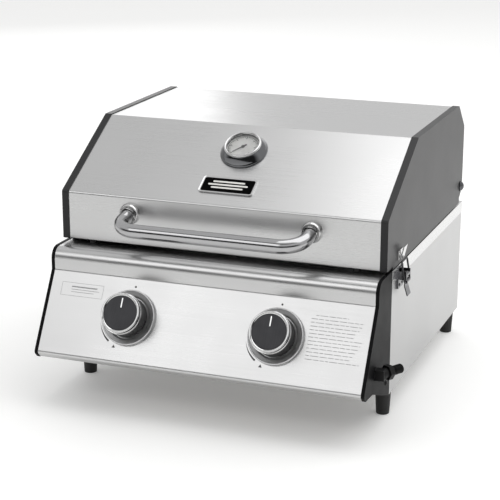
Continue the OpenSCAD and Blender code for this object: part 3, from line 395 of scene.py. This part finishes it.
plainFinish = {
    "body_shell": (shadedSideSteel, 0.3), "rim_frame": (litRimSteel, 0.25), "floor_panel": (innerSteel, 0.2),
    "front_wall": (innerSteel, 0.2), "firebox": (heatedSteel, 0.3),
    "control_panel": (lidSteel, 0.3),
    "lid_skin": (lidSteel, 0.3), "lid_end_left": ([darkPaint, blackPaintAndEdgeShade], 0.3),
    "lid_end_right": ([darkPaint, blackPaintAndEdgeShade], 0.3), "panel_cap_left": ([shadedCapPaint, blackPaintAndEdgeShade], 0.8),
    "panel_cap_right": ([shadedCapPaint, blackPaintAndEdgeShade], 0.8),
    "hinge_brackets": (platedSteel, 0.3), "flame_tamers": (heatedSteel, 0.3),
    "drip_tray": (innerSteel, 0.3), "tray_rails": (innerSteel, 0.2),
    "burner_left": (heatedSteel, 0.2), "burner_right": (heatedSteel, 0.2),
    "grate_left": (enamelledIron, 1.0), "grate_right": (enamelledIron, 1.0),
    "electrodes": (innerSteel, 0.1), "electrode_sleeves": (whiteCeramic, 0.3),
    "handle_screws": (platedSteel, 0.3), "foot_screws": (platedSteel, 0.3),
    "thermo_body": (platedSteel, 0.3), "thermo_nut": (brassMetal, 0.4),
    "pivot_bolts": (darkenedLatchSteel, 0.4), "lid_bumpers": (blackRubber, 0.8),
    "cap_screws": (blackMetal, 0.3),
    "spindle_left": (platedSteel, 0.2), "spindle_right": (platedSteel, 0.2),
    "valve_plug_left": (brassMetal, 0.3), "valve_plug_right": (brassMetal, 0.3),
    "valve_body_left": (brassMetal, 0.8), "valve_body_right": (brassMetal, 0.8),
    "injectors": (brassMetal, 0.3), "gas_pipe": (brassMetal, 0.3),
    "latch_plates": (darkenedLatchSteel, 0.3), "latch_lever_left": (darkenedLatchSteel, 0.3),
    "latch_lever_right": (darkenedLatchSteel, 0.3), "latch_bail_left": (springWire, 0),
    "latch_bail_right": (springWire, 0), "latch_keepers": (polishedSteel, 0.3),
    "feet": (blackRubber, 0.8), "inlet_nut": (blackMetal, 0.6),
}


def camel(node):
    first, *rest = node.split("_")
    return first + "".join(word.capitalize() for word in rest)


for node, (material, width) in plainFinish.items():
    refined(node, camel(node), bodyOf[node], material, width,
            finish=paintEdgeShade if isinstance(material, list) else None)
print("plain pieces finished")

# Handle: a bent tube of polished stainless between two domed rosettes

handle = {"halfSpan": 137, "height": 269.5, "radius": 10, "bend": 32, "reach": 55, "drop": 9.5,
          "segments": 44, "bendSteps": 18,
          "dome": [(8.2, 0), (15.5, 0), (15.5, 1.6), (15.3, 3.4), (14.6, 5.6), (13.6, 7.2),
                   (12.9, 7.6), (12.5, 7.1), (12.2, 5.8), (11.6, 5.2), (10.9, 6.2), (10.4, 8.6),
                   (10.1, 10.6), (9.6, 10.8)],
          "recess": 12.7, "recessFrom": 2}
tube = bmesh.new()
dropAngle = math.radians(handle["drop"])
bendCentre = handle["reach"] / math.cos(dropAngle) - handle["bend"]
halfStraight = handle["halfSpan"] - handle["bend"]
quarterTurn = Matrix.Rotation(math.pi / 2, 4, "X")
# the legs start 1 mm inside the lid's face
legStart = Matrix.Translation((handle["halfSpan"] / 1000, 0.001, 0)) @ quarterTurn
ring = bmesh.ops.create_circle(tube, segments=handle["segments"], radius=handle["radius"] / 1000,
                               matrix=legStart)["verts"]
legLength = (bendCentre + 1) / 1000
path = [("leg", (0, -legLength, 0)), ("turn", -1), ("leg", (-2 * halfStraight / 1000, 0, 0)),
        ("turn", 1), ("leg", (0, legLength, 0))]
edges = list({e for v in ring for e in v.link_edges})
for kind, value in path:
    if kind == "leg":
        grown = bmesh.ops.extrude_edge_only(tube, edges=edges)["geom"]
        bmesh.ops.translate(tube, vec=value,
                            verts=[g for g in grown if isinstance(g, bmesh.types.BMVert)])
        edges = [g for g in grown if isinstance(g, bmesh.types.BMEdge) and len(g.link_faces) == 1]
    else:
        centre = (-value * halfStraight / 1000, -bendCentre / 1000, 0)
        verts = list({v for e in edges for v in e.verts})
        grown = bmesh.ops.spin(tube, geom=verts + edges, cent=centre, axis=(0, 0, 1),
                               angle=-math.pi / 2, steps=handle["bendSteps"])["geom_last"]
        edges = [g for g in grown if isinstance(g, bmesh.types.BMEdge)]
bmesh.ops.remove_doubles(tube, verts=tube.verts, dist=weld)
middleSpot = Matrix.Translation(at(0, slopePlace["y"], handle["height"]))
atHandle = middleSpot @ Matrix.Rotation(dropAngle, 4, "X")
finishPiece(tube, "handleTube", "lid", darkenedTubeSteel, ("handle_bar",), atHandle)
for side, label in ((-1, "Left"), (1, "Right")):
    dome = profileSpin(handle["dome"])
    for facet in dome.faces:
        middle = facet.calc_center_median() * 1000
        # faces inside the rosette's recess get the darkened mirror, as painted shade
        sunk = math.hypot(middle.x, middle.y) < handle["recess"] and middle.z > handle["recessFrom"]
        facet.material_index = 1 if sunk else 0
    spot = at(side * handle["halfSpan"], slopePlace["y"], handle["height"])
    finishPiece(dome, "handleRosette" + label, "lid", [polishedSteel, recessShadeChrome],
                ("handle_rosettes",), Matrix.Translation(spot) @ quarterTurn)
print("handle made")

# Badge: a black plate in a bright frame, with three plain bars

badge = {"wide": 82, "high": 33, "up": 40, "edge": 2.9, "thick": 2.2, "corner": 5, "sunk": 0.9,
         "round": 0.35, "inner": 3, "plate": 1.6, "plateRound": 0.15,
         "bars": ((48, 6), (60, 0), (48, -6)), "bar": (3, 0.5, 1.4, 1.5)}


def roundedPlate(bm, wide, high, thick, corner, lift=0, cornerSteps=6):
    verts = addBox(bm, (-wide / 2, -high / 2, lift), (wide / 2, high / 2, lift + thick))
    edges = [e for e in {e for v in verts for e in v.link_edges}
             if abs(e.verts[0].co.z - e.verts[1].co.z) > weld]
    bmesh.ops.bevel(bm, geom=edges, offset=corner / 1000, offset_type="OFFSET", affect="EDGES",
                    segments=cornerSteps, profile=0.5, clamp_overlap=True, material=-1)


onBadge = onLidSlope(badge["up"])
frameRing = bmesh.new()
roundedPlate(frameRing, badge["wide"], badge["high"], badge["thick"], badge["corner"])
top = [f for f in frameRing.faces if f.normal.z > 0.9]
bmesh.ops.inset_region(frameRing, faces=top, thickness=badge["edge"] / 1000, use_even_offset=True)
# the inset's middle is its only large face that looks up
wideFaces = [f for f in frameRing.faces if f.normal.z > 0.9 and f.calc_area() > 0.001]
bmesh.ops.translate(frameRing, vec=(0, 0, -badge["sunk"] / 1000),
                    verts=list({v for f in wideFaces for v in f.verts}))
roundEdges(frameRing, badge["round"], 3)
finishPiece(frameRing, "badgeFrame", "lid", polishedSteel, ("badge_frame",),
            onBadge)
plate = bmesh.new()
roundedPlate(plate, badge["wide"] - 2 * badge["edge"], badge["high"] - 2 * badge["edge"],
             badge["plate"], badge["inner"])
roundEdges(plate, badge["plateRound"])
finishPiece(plate, "badgePlate", "lid", blackPaintAndEdgeShade, ("badge_plate",), onBadge)
bars = bmesh.new()
for wide, up in badge["bars"]:
    bar = bmesh.new()
    roundedPlate(bar, wide, *badge["bar"])
    bmesh.ops.translate(bar, vec=(0, up / 1000, 0), verts=bar.verts)
    joinInto(bars, bar)
finishPiece(bars, "badgeBars", "lid", whitePaint, (), onBadge)
print("badge made")

# Thermometer

gauge = {"up": 113.5, "steps": 96, "dialHigh": 8.8, "ink": 0.08, "inkLow": 0.02,
         "restTurn": 225, "marks": 31, "sweep": 270, "longEvery": 5,
         "longMark": (16.4, 0.55), "shortMark": (18.4, 0.34), "markEnd": 21.4, "circle": 22.0,
         "wall": [(24, 0.05), (35, 0.05), (35, 1.5), (34.6, 2.6), (33.8, 3.3), (33.2, 4.4),
                  (32.0, 6.4), (30.2, 9), (28.6, 11.2), (27.7, 12.3), (24, 12.3), (24, 0.05)],
         "bezel": [(24, 12.3), (27.3, 12.3), (27.5, 13.2), (27.4, 14.3), (26.9, 15.3), (26.0, 15.9),
                   (25.1, 15.95), (24.3, 15.4), (23.8, 14.6), (23.4, 14.05), (24, 14.05),
                   (24, 12.3)],
         "glass": [(0, 12.1), (23.9, 12.1), (23.9, 13.6), (16, 13.85), (8, 13.97), (0, 14)],
         "dial": [(1.2, 8), (23.6, 8), (23.6, 8.8), (22.8, 8.95), (22.6, 8.8), (1.2, 8.8),
                  (1.2, 8)],
         "hub": [(0, 9.4), (2.4, 9.4), (2.4, 10.2), (1.8, 10.5), (0, 10.6)], "hubSteps": 32,
         "pin": {"radius": 0.8, "long": 4.5, "middle": 7.7, "sides": 12},
         "arm": ((-6, -1.1, 9.4), (17, 1.1, 10)), "taper": 0.25}
onGauge = onLidSlope(gauge["up"])
for part, name, finish, slotName, replaced in (
        ("wall", "gaugeWall", darkenedChrome, "polished_steel", "thermo_bezel"),
        ("bezel", "gaugeBezel", polishedSteel, "polished_steel", "thermo_bezel"),
        ("glass", "gaugeGlass", gaugeGlass, "clear_glass", "thermo_glass"),
        ("dial", "gaugeDial", dialWhite, "dial_white", "thermo_dial")):
    finishPiece(profileSpin(gauge[part], gauge["steps"]), name, "lid", finish,
                (replaced,), onGauge)
ticks = bmesh.new()
inkLow, inkHigh = gauge["dialHigh"] + gauge["inkLow"], gauge["dialHigh"] + gauge["ink"]
for i in range(gauge["marks"]):
    angle = gauge["restTurn"] - gauge["sweep"] * i / (gauge["marks"] - 1)
    turn = Matrix.Rotation(math.radians(angle), 4, "Z")
    markStart, halfWide = gauge["shortMark"] if i % gauge["longEvery"] else gauge["longMark"]
    addBox(ticks, (markStart, -halfWide, gauge["dialHigh"]),
           (gauge["markEnd"], halfWide, inkHigh), turn)
# a thin circle joins the ends of the marks
inner, outer = gauge["markEnd"], gauge["circle"]
circle = profileSpin([(inner, inkLow), (outer, inkLow), (outer, inkHigh), (inner, inkHigh),
                      (inner, inkLow)], gauge["steps"])
joinInto(ticks, circle)
finishPiece(ticks, "gaugeScale", "lid", dialInk, (), onGauge)
pointer = profileSpin(gauge["hub"], gauge["hubSteps"])
pin = gauge["pin"]
bmesh.ops.create_cone(pointer, cap_ends=True, segments=pin["sides"], radius1=pin["radius"] / 1000,
                      radius2=pin["radius"] / 1000, depth=pin["long"] / 1000,
                      matrix=Matrix.Translation((0, 0, pin["middle"] / 1000)))
arm = addBox(pointer, *gauge["arm"])
# the arm narrows to its tip
bmesh.ops.scale(pointer, vec=(1, gauge["taper"], 1), verts=[v for v in arm if v.co.x > 0])
finishPiece(pointer, "gaugeNeedle", "needle", dialInk, ("thermo_needle",),
            onGauge @ Matrix.Rotation(math.radians(gauge["restTurn"]), 4, "Z"))
print("thermometer made")

# Knobs: a flared black body, two bright rings, a brushed dark face with a pointer line

knob = {"steps": 96,
        "shell": [(9, 8), (9, 6.3), (28.3, 6.3), (29, 7.0), (29, 9.0), (28.7, 9.8), (28.2, 11),
                  (28.1, 18), (28.3, 26.4), (28.1, 27.6), (27, 28), (27, 33), (0, 33)],
        "frontRing": [(24.9, 33), (27.7, 33), (28.5, 33.7), (28.5, 35.0), (28.05, 35.45),
                      (27.4, 35.8), (26.5, 35.7), (25.6, 35.2), (24.9, 34.6), (24.9, 33)],
        "backRing": [(27, 28), (29.1, 28), (29.9, 28.8), (29.8, 30.3), (29.2, 31), (27, 31),
                     (27, 28)],
        "face": [(0, 34.0), (15, 34.2), (23.2, 34.6), (24.2, 34.55), (24.85, 34.2), (24.85, 33)],
        "bezel": [(6, 0.05), (40, 0.05), (40, 4.6), (39.7, 5.5), (39.1, 5.95), (38.4, 6),
                  (37.8, 5.8), (36.8, 5.3), (33, 4.4), (31.2, 3.7), (30.4, 2.7), (30, 1.5),
                  (6, 1.5), (6, 0.05)],
        "pointer": (1.7, 14, 0.5, 0.8, 34.35), "pointerUp": 14.5}
for side, label in ((-1, "Left"), (1, "Right")):
    place = onPanel(side * knobPlace["apart"])
    end = "_" + label.lower()
    body = "knob" + end
    for part, name, finish, slotName, replaced in (
            ("shell", "knobBody", blackNylon, "black_plastic", "knob" + end),
            ("frontRing", "knobFrontRing", polishedSteel, "polished_steel", "knob_rings" + end),
            ("backRing", "knobBackRing", polishedSteel, "polished_steel", "knob_rings" + end),
            ("face", "knobFace", graphiteMetal, "graphite_face", "knob_face" + end)):
        finishPiece(profileSpin(knob[part], knob["steps"]), name + label, body, finish,
                    (replaced,), place)
    line = bmesh.new()
    roundedPlate(line, *knob["pointer"])
    finishPiece(line, "knobPointer" + label, body, polishedSteel, (),
                place @ Matrix.Translation((0, knob["pointerUp"] / 1000, 0)))
    finishPiece(profileSpin(knob["bezel"], knob["steps"]), "knobBezel" + label, "body", satinChrome,
                ("knob_bezels",), place)
print("knobs made")

# Gas inlet: a square elbow, a round neck and a spigot with a fine thread

inlet = {"elbow": (252, -46, 94), "half": 7.5, "turn": 30, "neck": 19, "reach": 39, "root": 5.9,
         "crest": 6.58, "pitch": 1.34, "flanks": (0.45, 0.7, 1.15), "runOut": 1, "chamfer": 0.6,
         "bore": 3, "boreDeep": 9, "steps": 48, "faceX": 245.5, "edge": 1.6,
         "washer": {"radius": 9.5, "thick": 1.2, "edge": 0.3, "sides": 40}}
half, neck, reach, root, crest = (inlet[k] for k in ("half", "neck", "reach", "root", "crest"))
spigot = [(0, 0), (half, 0), (half, neck - inlet["chamfer"]), (half - inlet["chamfer"], neck),
          (root, neck)]
rise, flat, fall = inlet["flanks"]
step = neck + inlet["runOut"]
while step + inlet["pitch"] < reach:
    spigot += [(root, step), (crest, step + rise), (crest, step + flat), (root, step + fall)]
    step += inlet["pitch"]
boreEnd = reach - inlet["boreDeep"]
spigot += [(root, reach), (inlet["bore"], reach), (inlet["bore"], boreEnd), (0, boreEnd)]
inletTurn = (Matrix.Rotation(math.radians(-inlet["turn"]), 4, "Z")
             @ Matrix.Rotation(-math.pi / 2, 4, "X"))
finishPiece(profileSpin(spigot, inlet["steps"]), "inletSpigot", "body", blackMetal,
            ("inlet_elbow",), Matrix.Translation(at(*inlet["elbow"])) @ inletTurn)
elbow = bmesh.new()
ex, ey, ez = inlet["elbow"]
addBox(elbow, (inlet["faceX"], ey - half, ez - half), (ex + half, ey + half, ez + half))
roundEdges(elbow, inlet["edge"], 4)
disc = inlet["washer"]
washer = bmesh.new()
washerX = inlet["faceX"] + disc["thick"] / 2
washerPlace = Matrix.Translation((washerX / 1000, ey / 1000, ez / 1000))
bmesh.ops.create_cone(washer, cap_ends=True, segments=disc["sides"], radius1=disc["radius"] / 1000,
                      radius2=disc["radius"] / 1000, depth=disc["thick"] / 1000,
                      matrix=washerPlace @ Matrix.Rotation(math.pi / 2, 4, "Y"))
roundEdges(washer, disc["edge"])
joinInto(elbow, washer)
finishPiece(elbow, "inletElbow", "body", blackMetal, ("inlet_elbow",),
            Matrix.Translation(zero))
print("inlet made")

# Printed marks: a dot and an arrow at each knob, a flame wedge, and plain bars for the notes

prints = {"thick": 0.06, "dot": (0.5, 45.5, 1.5), "arrow": (-15.5, -43, 3),
          "wedge": {"radius": 43.5, "from": 197, "sweep": 40, "wide": 2.6, "steps": 14,
                    "overlap": 0.55},
          "note": {"middle": (-191, 31.5), "wide": 66, "high": 19.5, "line": 0.45, "left": 16,
                   "bars": ((10, 3.2, 4.8), (6, -0.4, 0.3), (14, -4.0, -3.3))},
          "text": {"left": 155, "right": 233, "top": 36, "rows": 13, "pitch": 5.1, "line": 0.8,
                   "indent": 6, "headShort": 26, "gap": 1.7}}
marks = bmesh.new()
for side in (-1, 1):
    middle = Matrix.Translation((side * knobPlace["apart"] / 1000, 0, 0))
    for (across, up, radius), sides in ((prints["dot"], 20), (prints["arrow"], 3)):
        spot = middle @ Matrix.Translation((across / 1000, up / 1000, prints["thick"] / 2000))
        bmesh.ops.create_cone(marks, cap_ends=True, segments=sides, radius1=radius / 1000,
                              radius2=radius / 1000, depth=prints["thick"] / 1000, matrix=spot)
    arc = prints["wedge"]
    arcStep = math.radians(arc["sweep"] / arc["steps"])
    halfLong = arcStep * arc["radius"] * arc["overlap"]
    for i in range(arc["steps"]):
        # the wedge grows along its sweep
        halfWide = arc["wide"] * (i + 1) / arc["steps"] / 2
        turn = Matrix.Rotation(math.radians(arc["from"]) + arcStep * i, 4, "Z")
        addBox(marks, (arc["radius"] - halfWide, -halfLong, 0),
               (arc["radius"] + halfWide, halfLong, prints["thick"]), middle @ turn)
finishPiece(marks, "panelMarks", "body", panelInk, (), onPanel(0))

notes = bmesh.new()
note, text = prints["note"], prints["text"]
cx, cy = note["middle"]
wide, high, line = note["wide"] / 2, note["high"] / 2, note["line"]
outline = [(-wide, high - line, wide, high), (-wide, -high, wide, -high + line),
           (-wide, -high, -wide + line, high), (wide - line, -high, wide, high)]
noteBars = [(note["left"] - wide, low, wide - right, top) for right, low, top in note["bars"]]
for x0, y0, x1, y1 in outline + noteBars:
    addBox(notes, (cx + x0, cy + y0, 0), (cx + x1, cy + y1, prints["thick"]))
for row in range(text["rows"]):
    y = text["top"] - row * text["pitch"]
    x = text["left"] + (0 if row else text["indent"])
    end = text["right"] - ((row * 37) % 17 if row else text["headShort"])
    word = 0
    while x < end:
        long = 4 + (row * 5 + word * 7) % 9  # dashes of uneven length, the same each time
        addBox(notes, (x, y, 0), (min(x + long, end), y + text["line"], prints["thick"]))
        x += long + text["gap"]
        word += 1
finishPiece(notes, "panelNotes", "body", noteInk, (), onPanel(0))
print("marks printed")

# Stage, light and camera

studio = {
    "floor": 30, "floorGlow": 0.19, "sky": 0.78, "dark": 0.05,
    # where each band of the room's darkness starts and is full, as parts of the view direction
    "ahead": (-0.1, -0.5), "low": (0.44, 0.26), "railFoot": (0.74, 0.78), "railTop": (0.88, 0.84),
    # each light's place, aim, width, depth and glow
    "lights": {"over": ((1.15, 0.9, 2.6), (1.15, 0.9, 0), 3.4, 3.0, 1.3),
               "front": ((-0.85, -2.15, 1.85), (0, -0.27, 0.15), 1.8, 1.2, 1.02),
               "back": ((-2.2, 2.9, 1.3), (-0.1, 0, 0.4), 1.9, 1.3, 1.05)}}
floorBm = bmesh.new()
bmesh.ops.create_grid(floorBm, x_segments=2, y_segments=2, size=studio["floor"])
floorMesh = bpy.data.meshes.new("studioFloor")
floorBm.to_mesh(floorMesh)
floorBm.free()
studioFloor = bpy.data.objects.new("studioFloor", floorMesh)
bpy.context.scene.collection.objects.link(studioFloor)
floorPaint, floorShader = startMaterial("studio floor, pale paper", "#f4f4f3", 0, 0.9, 1.4)[::2]
studioFloor.data.materials.append(floorPaint)
floorShader.inputs["Emission Color"].default_value = (1, 1, 1, 1)
floorShader.inputs["Emission Strength"].default_value = studio["floorGlow"]

world = bpy.data.worlds.new("studio")
bpy.context.scene.world = world
world.use_nodes = True
sky = world.node_tree
skyPoint = addNode(sky, "ShaderNodeTexCoord").outputs["Generated"]
skyParts = addNode(sky, "ShaderNodeSeparateXYZ", links={"Vector": skyPoint})


def skyBand(name, axis):
    start, full = studio[name]
    return addNode(sky, "ShaderNodeMapRange", values={"From Min": start, "From Max": full},
                   links={"Value": skyParts.outputs[axis]}).outputs["Result"]


def skyMath(operation, first, second):
    return addNode(sky, "ShaderNodeMath", {"operation": operation},
                   links={0: first, 1: second}).outputs["Value"]


# behind the camera the room is dark near the horizon, which gives the bright metal its dark bands
ahead = skyBand("ahead", "Y")
horizon = skyMath("MULTIPLY", ahead, skyBand("low", "Z"))
# a dark rail higher up makes a second streak on tubes, rings and the panel's bend
rail = skyMath("MULTIPLY", skyBand("railFoot", "Z"), skyBand("railTop", "Z"))
darkness = skyMath("MAXIMUM", horizon, skyMath("MULTIPLY", rail, ahead))
power = addNode(sky, "ShaderNodeMapRange", links={"Value": darkness},
                values={"To Min": studio["sky"], "To Max": studio["dark"]})
sky.links.new(power.outputs["Result"], sky.nodes["Background"].inputs["Strength"])
sky.nodes["Background"].inputs["Color"].default_value = (1, 1, 1, 1)
for name, (spot, aim, wide, deep, glow) in studio["lights"].items():
    lamp = bpy.data.lights.new(name, "AREA")
    lamp.shape, lamp.size, lamp.size_y = "RECTANGLE", wide, deep
    lamp.energy = glow * math.pi * wide * deep
    light = bpy.data.objects.new(name, lamp)
    bpy.context.scene.collection.objects.link(light)
    light.location = spot
    light.rotation_euler = (Vector(aim) - Vector(spot)).to_track_quat("-Z", "Y").to_euler()

# the camera solved from the photo's straight edges
view = {"eye": (760.5, -1891.85, 822.7), "turn": 20.706, "down": 16.212, "roll": -0.12,
        "lens": 108.72, "sensor": 36, "clip": (0.05, 100)}
camera = bpy.data.objects.new("camera", bpy.data.cameras.new("camera"))
bpy.context.scene.collection.objects.link(camera)
camera.data.sensor_width, camera.data.lens = view["sensor"], view["lens"]
camera.data.clip_start, camera.data.clip_end = view["clip"]
camera.location = at(*view["eye"])
camera.rotation_euler = [math.radians(a) for a in (90 - view["down"], view["roll"], view["turn"])]
bpy.context.scene.camera = camera
bpy.context.scene.view_settings.view_transform = "Standard"
print("studio set")
